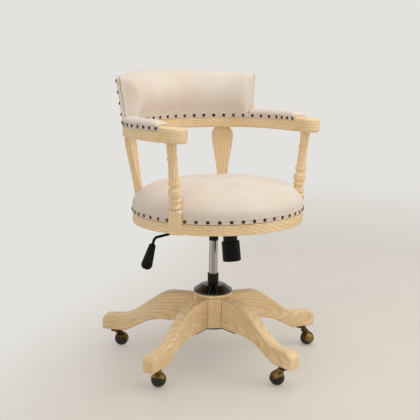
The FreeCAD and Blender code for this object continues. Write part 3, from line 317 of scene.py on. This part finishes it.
def creamLinen(name, seed):
    finish = Finish(name, Sheen_Weight=0.25, Sheen_Roughness=0.4, Specular_IOR_Level=0.25)
    where = finish.where()
    x, y, z = finish.axes(where)
    bearing = finish.bearing(x, y - seatMiddle)
    facing = finish.add("ShaderNodeNewGeometry", out="Normal")
    upward = finish.add("ShaderNodeSeparateXYZ", inputs={0: facing}, out=2)
    flat = abs(upward).step(*linen["flat"])
    topKnots, topSlubs = weave(finish, x, y, seed)
    sideKnots, sideSlubs = weave(finish, bearing * linen["reach"], z, seed + 7.0)
    knots = topKnots * flat + sideKnots * (1.0 - flat)
    slubs = topSlubs * flat + sideSlubs * (1.0 - flat)
    cloud = finish.noise(where, linen["cloud"], 3.0)
    colour = finish.mix(cloud.step(0.35, 0.7), solid(linen["warm"]), solid(linen["pale"]))
    # painted shade in the hollows of the weave, and darker slub yarn
    colour = finish.mix((1.0 - knots) * 0.3 + slubs.step(0.62, 0.8) * 0.25, colour, solid(linen["weaveShadeAndSlubs"]))
    low, high = linen["rough"]
    return finish.wear(
        Base_Color=colour,
        Roughness=knots * (low - high) + high,
        Normal=finish.bump(knots * 0.6 + slubs * 0.6, linen["bump"], linen["bumpDepth"]))


# soft pads: each starts a little small and is blown up as stuffed cloth, fixed along its nailed edges

pads = {
    "seatPad": {
        "node": "seat_cushion", "drawIn": 1.5, "ease": 0, "pressure": 2.5, "cap": 3.0, "ramp": 22.0,
        "settle": 3, "fill": 0.85, "spokes": 168, "bed": (60.0, 150.0, 245.3), "slack": 0.5,
        "cutBy": ("arm_post_left", "arm_post_right", "splat_left", "splat_right")},
    "backPad": {
        "node": "back_cushion", "voxel": 4.0, "drawIn": 2.5, "ease": 60, "pressure": 4.0, "cap": 9.0,
        "ramp": 12.0, "fill": 0.8, "tuck": 0.5, "edge": 8, "edgeRamp": 10},
    "backCloth": {
        "node": "back_cover", "voxel": 3.0, "drawIn": 0.5, "ease": 3, "pressure": 2.0, "cap": 3.0,
        "ramp": 20.0, "fill": 0.5, "edge": 14, "edgeRamp": 4, "ends": 59, "endRamp": 6},
}
for name, node in (("rightArmPad", "arm_pad_right"), ("leftArmPad", "arm_pad_left")):
    pads[name] = {
        "node": node, "voxel": 3.0, "drawIn": 2.0, "ease": 8, "pressure": 4.0, "cap": 5.0,
        "ramp": 9.0, "fill": 0.75}
cloth = {                             # how the pads' cloth stretches and bends
    "quality": 5, "mass": 0.3, "tension_stiffness": 20, "compression_stiffness": 20,
    "shear_stiffness": 8, "bending_stiffness": 4.0, "use_pressure": True,
}
stuffing = {"frames": 20, "give": 0.98, "steep": 0.6, "weld": 1e-5}
lumps = {"scale": 14.0, "height": 0.0006}  # slight unevenness of the filling
armNose = {"long": 44.0, "keep": 0.12}  # the front end of an arm pad slopes down to the wood
seatDome = [                          # radius and height above the rim's underside
    (245.3, 30.3), (249.0, 30.3), (249.0, 37.0), (249.0, 43.0), (249.3, 46.5), (250.1, 51.0),
    (250.7, 56.0), (250.2, 61.0), (248.6, 66.0), (245.6, 71.0), (241.8, 76.0), (237.9, 81.0),
    (234.1, 86.0), (230.5, 90.5), (226.6, 94.0), (221.0, 97.1), (212.0, 99.3), (200.1, 101.8),
    (186.1, 104.6), (169.9, 107.9), (154.1, 111.0), (138.0, 113.8), (122.0, 116.0), (106.0, 117.7),
    (90.1, 119.0), (72.0, 119.8), (54.0, 120.0), (36.0, 120.0), (12.0, 120.0),
]


def unit(value):                      # held between 0 and 1
    return min(1.0, max(0.0, value))


def looseness(name, at):              # 0 where the cloth is fixed, 1 where it is free to swell
    look = pads[name]
    reach = math.hypot(at.x, at.y - seatShape["centreY"])
    if name == "seatPad":
        return unit((at.z - seatShape["rimTop"]) / look["ramp"])
    rise = max(0.0, at.z - seatShape["railTop"])
    lean = seatShape["backLean"] * rise / seatShape["backRise"]
    free = unit(rise / look["ramp"])
    if name == "backPad":
        free *= unit((seatShape["panelFront"] + look["edge"] + lean - reach) / look["edgeRamp"])
    if name == "backCloth":
        turn = abs(math.degrees(math.atan2(at.x, at.y - seatShape["centreY"])))
        free *= unit((reach - (seatShape["panelFront"] + look["edge"] + lean)) / look["edgeRamp"])
        free *= unit((look["ends"] - turn) / look["endRamp"])
    return free


def applyAll(piece):
    bpy.context.view_layer.update()
    graph = bpy.context.evaluated_depsgraph_get()
    mesh = bpy.data.meshes.new_from_object(piece.evaluated_get(graph))
    piece.modifiers.clear()
    piece.data = mesh


def smoothShade(piece):
    for polygon in piece.data.polygons:
        polygon.use_smooth = True


def newPiece(name, mesh):
    piece = bpy.data.objects.new(name, mesh)
    scene.collection.objects.link(piece)
    return piece


def weldedCopy(name, node, puff=0.0):  # a node's mesh with its seams closed, grown by puff millimetres
    work = bmesh.new()
    work.from_mesh(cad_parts[node].data)
    bmesh.ops.remove_doubles(work, verts=work.verts, dist=stuffing["weld"])
    work.normal_update()
    moves = [vertex.normal * (puff / 1000) for vertex in work.verts]
    for vertex, move in zip(work.verts, moves):
        vertex.co += move
    mesh = bpy.data.meshes.new(name)
    work.to_mesh(mesh)
    work.free()
    return newPiece(name, mesh)


def skin(name, rows, closed=False):   # a tube through rings of points, its ends joined or capped
    work = bmesh.new()
    rings = [[work.verts.new(spot) for spot in row] for row in rows]
    count = len(rings[0])
    pairs = list(zip(rings, rings[1:])) + ([(rings[-1], rings[0])] if closed else [])
    for first, second in pairs:
        for index in range(count):
            after = (index + 1) % count
            work.faces.new((first[index], first[after], second[after], second[index]))
    if not closed:
        work.faces.new(rings[0][::-1])
        work.faces.new(rings[-1])
    bmesh.ops.recalc_face_normals(work, faces=work.faces)
    mesh = bpy.data.meshes.new(name)
    work.to_mesh(mesh)
    work.free()
    return mesh


def domeMesh(name):                   # the seat pad turned round, with a flat bed below
    look = pads[name]
    turns = [2 * math.pi * spoke / look["spokes"] for spoke in range(look["spokes"])]
    bed = seatShape["rimTop"] + seatShape["softGap"]
    middle = seatShape["centreY"]
    profile = [(radius, bed) for radius in look["bed"]] + seatDome
    return skin(name, [[leanBack(radius * math.cos(turn), middle + radius * math.sin(turn), height)
                        for turn in turns] for radius, height in profile])


def ease(piece, free, rounds):        # rounds the free cloth, leaves the nailed edges
    work = bmesh.new()
    work.from_mesh(piece.data)
    work.verts.ensure_lookup_table()
    near = [[edge.other_vert(vertex).index for edge in vertex.link_edges] for vertex in work.verts]
    places = [vertex.co.copy() for vertex in work.verts]
    work.free()
    for turn in range(rounds):
        places = [spot.lerp(sum((places[other] for other in others), Vector()) / len(others), 0.5 * share)
                  for spot, others, share in zip(places, near, free)]
    for vertex, spot in zip(piece.data.vertices, places):
        vertex.co = spot
    piece.data.update()


def stuff(piece, look, free):         # cloth under pressure, pinned where it is fixed
    pins = piece.vertex_groups.new(name="fixed")
    for index, share in enumerate(free):
        pins.add([index], 1.0 - share * stuffing["give"], "REPLACE")
    sheet = piece.modifiers.new("stuffing", "CLOTH")
    for setting, value in cloth.items():
        setattr(sheet.settings, setting, value)
    sheet.settings.uniform_pressure_force = look["pressure"]
    sheet.settings.vertex_group_mass = "fixed"
    sheet.settings.effector_weights.gravity = 0
    sheet.collision_settings.use_collision = False
    sheet.collision_settings.use_self_collision = False
    sheet.point_cache.frame_start = 1
    sheet.point_cache.frame_end = stuffing["frames"]
    before = [vertex.co.copy() for vertex in piece.data.vertices]
    for step in range(1, stuffing["frames"] + 1):
        scene.frame_set(step)
    applyAll(piece)
    scene.frame_set(1)
    furthest = look["cap"] / 1000
    for vertex, start in zip(piece.data.vertices, before):
        move = vertex.co - start
        if move.length > furthest:
            vertex.co = start + move.normalized() * furthest


def slopeNose(piece):                 # lowers an arm pad's front end
    end = seatShape["centreY"] - (seatShape["rail"] - seatShape["armCentre"]) * math.sin(
        math.radians(seatShape["armSweep"]))
    for vertex in piece.data.vertices:
        at = level(vertex.co)
        near = unit((end + armNose["long"] - at.y) / armNose["long"])
        rise = at.z - seatShape["railTop"]
        if near > 0 and rise > 0:
            share = 1 - (1 - armNose["keep"]) * (1 - math.sqrt(1 - near * near))
            vertex.co = leanBack(at.x, at.y, seatShape["railTop"] + rise * share)


def cutRoom(piece, look):             # room for the wood that stands through the pad
    for node in look["cutBy"]:
        tool = weldedCopy("room_" + node, node, look["slack"])
        cut = piece.modifiers.new("room", "BOOLEAN")
        cut.operation = "DIFFERENCE"
        cut.solver = "EXACT"
        cut.object = tool
        applyAll(piece)
        bpy.data.objects.remove(tool)


def softPad(name):
    look = pads[name]
    if "spokes" in look:
        piece = newPiece(name, domeMesh(name))
    else:
        piece = weldedCopy(name, look["node"])
        grid = piece.modifiers.new("grid", "REMESH")
        grid.mode = "VOXEL"
        grid.voxel_size = look["voxel"] / 1000
        applyAll(piece)
    free = [looseness(name, level(vertex.co)) for vertex in piece.data.vertices]
    ease(piece, free, look["ease"])
    if "Arm" in name:
        slopeNose(piece)
    normals = [vertex.normal.copy() for vertex in piece.data.vertices]
    tuck = look.get("tuck", 0.0) / 1000
    for vertex, normal, share in zip(piece.data.vertices, normals, free):
        if tuck and share == 0 and abs(normal.z) < stuffing["steep"]:
            vertex.co += Vector((normal.x, normal.y, 0)) * tuck
        lump = noise.noise(vertex.co * lumps["scale"]) * lumps["height"]
        vertex.co += normal * share * (lump - look["drawIn"] / 1000)
    stuff(piece, look, free)
    ease(piece, free, look.get("settle", 0))
    piece.modifiers.new("fine", "SUBSURF").levels = 1
    piece.modifiers["fine"].render_levels = 1
    applyAll(piece)
    if "cutBy" in look:
        cutRoom(piece, look)
    smoothShade(piece)
    piece.data.materials.clear()
    piece.data.materials.append(creamLinen("creamLinen_" + name, float(len(name))))
    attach(piece, "seat")
    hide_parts(look["node"])
    print(name, "stuffed,", len(piece.data.vertices), "points")
    return piece


for name in pads:
    softPad(name)


# trim tape: a flat woven tape under each row of nails

tape = {
    "height": 13.4, "thick": 0.7, "lip": 0.35, "sunk": 0.4, "selvedge": (0.8, 2.0, 2.8), "rib": 0.0016,
    "colour": rgb(229, 214, 198), "grooveShade": rgb(190, 170, 150), "bump": 0.6, "bumpDepth": 0.0004,
}


def tapeLine(rows, name, closed):     # rows of (place, outward, upward) in level millimetres
    half = tape["height"] / 2
    thick, crest = tape["thick"], tape["thick"] + tape["lip"]
    outer, inner, flat = tape["selvedge"]
    edge = [(0.0, -tape["sunk"]), (0.0, thick * 0.7), (outer, crest), (inner, crest), (flat, thick)]
    section = [(rise - half, out) for rise, out in edge]
    section += [(half - rise, out) for rise, out in edge[::-1]]
    mesh = skin(name, [[leanBack(*(place + upward * rise + outward * out)) for rise, out in section]
                       for place, outward, upward in rows], closed)
    piece = newPiece(name, mesh)
    smoothShade(piece)
    mesh.materials.append(tapeFinish)
    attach(piece, "seat")
    return piece


def wovenTape():
    finish = Finish("wovenTape", Sheen_Weight=0.2, Specular_IOR_Level=0.25)
    where = finish.where()
    x, y, z = finish.axes(where)
    bearing = finish.bearing(x, y - seatMiddle) * linen["reach"]
    turn = math.pi / tape["rib"]
    ribs = ((bearing * 2.0 + z) * turn).sine() * ((bearing * 2.0 - z) * turn).sine() * 0.5 + 0.5
    cloud = finish.noise(where, 30.0, 2.0)
    # painted shade: the hollows between the ribs are coloured darker
    colour = finish.mix((1.0 - ribs) * 0.45, solid(tape["colour"]), solid(tape["grooveShade"]))
    return finish.wear(Base_Color=colour, Roughness=cloud * 0.15 + 0.8,
                       Normal=finish.bump(ribs, tape["bump"], tape["bumpDepth"]))


tapeFinish = wovenTape()
upright = Vector((0, 0, 1))


def ringRow(radius, start, stop, height, steps, sign=1):
    rows = []
    for index in range(steps):
        turn = math.radians(start + (stop - start) * index / (steps - 1))
        outward = Vector((math.cos(turn), math.sin(turn), 0))
        rows.append((outward * radius + Vector((0, seatShape["centreY"], height)), outward * sign, upright))
    return rows


def armRow(radius, side, height, steps, sign):
    bend = radius - seatShape["armCentre"]
    rows = []
    for index in range(steps):
        turn = math.radians(seatShape["armSweep"] * (steps - index) / steps)
        outward = Vector((math.cos(turn) * side, -math.sin(turn), 0))
        place = outward * bend + Vector((seatShape["armCentre"] * side, seatShape["centreY"], height))
        rows.append((place, outward * sign, upright))
    return rows


seatRow = seatShape["rimTop"] - seatShape["band"] / 2
railRow = seatShape["railTop"] - seatShape["band"] / 2
tapeLine(ringRow(seatShape["rim"], 0, 358, seatRow, 180), "seatTape", True)
for name, radius, sign in (("innerTape", seatShape["railIn"], -1), ("outerTape", seatShape["railOut"], 1)):
    rows = armRow(radius, 1, railRow, 12, sign)
    rows += ringRow(radius, 0, 180, railRow, 91, sign)
    rows += armRow(radius, -1, railRow, 12, sign)[::-1]
    tapeLine(rows, name, False)
print("trim tape laid")


# hard finishes of the fittings

def fitting(name, dark, light, rough, metal=0.0, grain=90.0, coat=0.0, bump=0.15, shine=0.35):
    finish = Finish(name, Metallic=metal, Coat_Weight=coat, Specular_IOR_Level=shine)
    where = finish.where()
    cloud = finish.noise(where, grain * 0.25, 4.0)
    speck = finish.noise(where, grain * 8.0, 3.0)
    colour = finish.mix(cloud.step(0.35, 0.68), solid(dark), solid(light))
    return finish.wear(
        Base_Color=colour,
        Roughness=cloud * (rough[1] - rough[0]) + rough[0] + speck * 0.06,
        Normal=finish.bump(speck * 0.6 + cloud * 0.4, bump, 0.0003))


chrome = {
    "dark": rgb(132, 126, 118), "light": rgb(200, 195, 187), "streak": (5.0, 1.2), "smear": 60.0,
    "bump": 0.05, "bumpDepth": 0.0003,
}


def brushedChrome():                  # bright tube with drawn streaks
    finish = Finish("columnChrome", Metallic=1.0)
    where = finish.where()
    x, y, z = finish.axes(where)
    bearing = finish.bearing(x, y)
    across, along = chrome["streak"]
    streaks = finish.noise(finish.point(bearing * across, z * along, 0.0), 1.0, 4.0, 0.65)
    smear = finish.noise(where, chrome["smear"], 3.0)
    colour = finish.mix(streaks.step(0.35, 0.65), solid(chrome["dark"]), solid(chrome["light"]))
    return finish.wear(Base_Color=colour, Roughness=smear * 0.1 + 0.12,
                       Normal=finish.bump(streaks, chrome["bump"], chrome["bumpDepth"]))


finishes = {
    "blackMetal": fitting("blackMetal", rgb(12, 11, 9), rgb(21, 19, 16), (0.4, 0.52), bump=0.25, shine=0.2),
    "blackPlastic": fitting("blackPlastic", rgb(10, 8, 6), rgb(17, 14, 11), (0.45, 0.58),
                            bump=0.3, shine=0.15),
    "blackGloss": fitting("blackGloss", rgb(10, 9, 9), rgb(18, 17, 16), (0.16, 0.24), bump=0.05, coat=0.4),
    "plainSteel": fitting("plainSteel", rgb(150, 148, 145), rgb(185, 183, 180), (0.25, 0.4), metal=1.0),
    "columnChrome": brushedChrome(),
    "agedBrass": fitting("agedBrass", rgb(70, 54, 26), rgb(142, 114, 64), (0.28, 0.48),
                         metal=0.9, grain=160.0),
    "blackNylon": fitting("blackNylon", rgb(18, 16, 14), rgb(30, 28, 25), (0.3, 0.45)),
    "bronzeNail": fitting("bronzeNail", rgb(46, 34, 20), rgb(104, 80, 50), (0.3, 0.45),
                          metal=0.85, grain=220.0),
    "plywood": fitting("plywood", rgb(176, 142, 98), rgb(204, 172, 126), (0.6, 0.75), grain=40.0, bump=0.3),
}
worn = {
    "blackMetal": ("star_plate", "outer_tube", "mech_housing", "tilt_plate", "lever_rod"),
    "blackPlastic": ("guide_bush", "tension_knob", "lever_grip"),
    "blackGloss": ("dome_cover",), "columnChrome": ("pressure_tube",),
    "plywood": ("seat_board", "back_panel"), "bronzeNail": ("upholstery_nails",),
    "plainSteel": ("star_plate_screws", "castor_sockets", "thrust_bearing", "piston_rod", "retaining_clip",
                   "valve_button", "tilt_pivot_pin", "plate_bolts", "tension_bolt", "tilt_spring"),
}
wears = {node: finish for finish, nodes in worn.items() for node in nodes}
for number in range(1, 6):
    wears[f"castor_hood_{number}"] = "agedBrass"
    wears[f"castor_wheel_{number}"] = "blackNylon"
for name, finish in wears.items():
    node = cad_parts[name]
    node.data.materials.clear()
    node.data.materials.append(finishes[finish])
print("fittings finished:", len(wears))


# tilt spring: a wound coil, carried with the column

spring = {
    "from": (0.0, -69.766, 436.892), "lean": math.radians(9.0), "top": 37.3, "bottom": 94.2,
    "mean": 12.0, "wire": 2.4, "turns": 8, "steps": 20, "sides": 10, "squeeze": 8.6,
}


def coilSpring():
    axis = Vector((0, math.sin(spring["lean"]), math.cos(spring["lean"])))
    ahead = axis.cross(Vector((1, 0, 0)))
    count = spring["turns"] * spring["steps"]
    low, high = spring["top"] + spring["wire"], spring["bottom"] - spring["wire"]
    corners = [2 * math.pi * corner / spring["sides"] for corner in range(spring["sides"])]
    rows = []
    for index in range(count + 1):
        turn = 2 * math.pi * index / spring["steps"]
        outward = Vector((1, 0, 0)) * math.cos(turn) + ahead * math.sin(turn)
        down = low + (high - low) * index / count
        middle = Vector(spring["from"]) - axis * down + outward * spring["mean"]
        rows.append([(middle + (outward * math.cos(corner) + axis * math.sin(corner)) * spring["wire"]) / 1000
                     for corner in corners])
    mesh = skin("coilSpring", rows)
    mesh.materials.append(finishes["plainSteel"])
    piece = newPiece("coilSpring", mesh)
    smoothShade(piece)
    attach(piece, "column")
    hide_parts("tilt_spring")
    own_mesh(piece)


coilSpring()
print("tilt spring wound")


# studio: pale floor that fades into the backdrop, soft light, the photograph's camera

studio = {
    "floor": rgb(222, 215, 204), "backdrop": rgb(228, 226, 222), "fade": (0.9, 3.4), "glow": (0.35, 1.0),
    # the next two settings paint the floor lighter towards one side: painted light
    "paintedLightSide": (-0.55, 0.83, 0.0), "paintedLightFade": (0.1, 0.75),
    "eye": (-1.5823, -2.0252, 1.0004), "heading": 38.0, "pitch": 11.98, "roll": 0.93,
    "lens": 76.28, "shift": -0.0099, "sensor": 36.0, "sight": 60.0, "half": 9,
}


def seenShare(finish):                # 1 for what the camera sees, straight on or in a shine
    sight = finish.add("ShaderNodeLightPath", out="Is Camera Ray")
    shine = finish.add("ShaderNodeLightPath", out="Is Glossy Ray")
    through = finish.add("ShaderNodeLightPath", out="Is Transmission Ray")
    return (sight + shine + through).least(1.0)


def paleFloor():
    finish = Finish("paleFloor", Roughness=0.5, Specular_IOR_Level=0.3)
    where = finish.where()
    x = finish.along(where, (1, 0, 0))
    y = finish.along(where, (0, 1, 0))
    # painted light: the floor is coloured lighter and glows more towards one side, as if lit more there;
    # further out it also fades into the backdrop
    paintedLightShare = finish.along(where, studio["paintedLightSide"]).step(*studio["paintedLightFade"])
    backdropFadeAndPaintedLight = (x * x + y * y).root().step(*studio["fade"]).most(paintedLightShare)
    cloud = finish.noise(where, 1.3, 5.0, 0.6)
    near = finish.mix(cloud.step(0.3, 0.7), solid(tuple(part * 0.95 for part in studio["floor"])),
                      solid(studio["floor"]))
    tone = finish.mix(backdropFadeAndPaintedLight, near, solid(studio["backdrop"]))
    finish.wear(Base_Color=tone)
    low, high = studio["glow"]
    share = seenShare(finish) * (backdropFadeAndPaintedLight * (high - low) + low)
    glow = finish.add("ShaderNodeEmission", inputs={"Color": tone, "Strength": 1.0})
    seen = finish.add("ShaderNodeMixShader", inputs={
        0: share, 1: Wire(finish, finish.shader.outputs[0]), 2: glow})
    below = finish.add("ShaderNodeNewGeometry", out="Backfacing")
    clear = finish.add("ShaderNodeBsdfTransparent")
    oneSided = finish.add("ShaderNodeMixShader", inputs={0: below, 1: seen, 2: clear})
    finish.feed(finish.nodes["Material Output"].inputs["Surface"], oneSided)
    return finish.material


floor = bpy.data.meshes.new("floor")
half = studio["half"]
corners = [(-half, -half, 0), (half, -half, 0), (half, half, 0), (-half, half, 0)]
floor.from_pydata(corners, [], [(0, 1, 2, 3)])
floor.materials.append(paleFloor())
newPiece("floor", floor)
print("stage set")

heading = math.radians(studio["heading"])
pitch = math.radians(studio["pitch"])
roll = math.radians(studio["roll"])
forward = Vector((math.sin(heading) * math.cos(pitch), math.cos(heading) * math.cos(pitch), -math.sin(pitch)))
right = Vector((math.cos(heading), -math.sin(heading), 0))
up = right.cross(forward)
cameraRight = right * math.cos(roll) + up * math.sin(roll)
cameraUp = up * math.cos(roll) - right * math.sin(roll)
camera = newPiece("camera", bpy.data.cameras.new("camera"))
turnTo = Matrix((cameraRight, cameraUp, -forward)).transposed()
camera.matrix_world = Matrix.Translation(studio["eye"]) @ turnTo.to_4x4()
camera.data.sensor_width = studio["sensor"]
camera.data.lens = studio["lens"]
camera.data.shift_x = studio["shift"]
camera.data.clip_end = studio["sight"]
scene.camera = camera

lamps = {
    "topLamp": {"place": (0.3, -0.5, 3.2), "aim": (0, 0, 0.4), "size": 2.8, "power": 44.0,
                "tint": (0.97, 0.985, 1.0)},
    "frontLamp": {"place": (-3.2, -1.8, 2.2), "aim": (0, 0, 0.5), "size": 2.4, "power": 18.0,
                  "tint": (1.0, 0.95, 0.88)},
    "sideLamp": {"place": (2.4, -2.6, 2.0), "aim": (0, 0, 0.4), "size": 2.2, "power": 34.0,
                 "tint": (1.0, 0.94, 0.86)},
}
for name, lamp in lamps.items():
    light = bpy.data.lights.new(name, "AREA")
    light.size = lamp["size"]
    light.energy = lamp["power"]
    light.color = lamp["tint"]
    stand = newPiece(name, light)
    stand.location = lamp["place"]
    stand.rotation_euler = (Vector(lamp["aim"]) - Vector(lamp["place"])).to_track_quat("-Z", "Y").to_euler()

air = {"light": (0.92, 0.93, 0.95), "strength": 0.55}
world = bpy.data.worlds.new("studioAir")
around = Finish.of(world)
lit = around.add("ShaderNodeBackground", inputs={"Color": solid(air["light"]), "Strength": air["strength"]})
seen = around.add("ShaderNodeBackground", inputs={"Color": solid(studio["backdrop"])})
both = around.add("ShaderNodeMixShader", inputs={0: seenShare(around), 1: lit, 2: seen})
around.feed(around.nodes["World Output"].inputs["Surface"], both)
scene.world = world
print("camera and lamps ready")
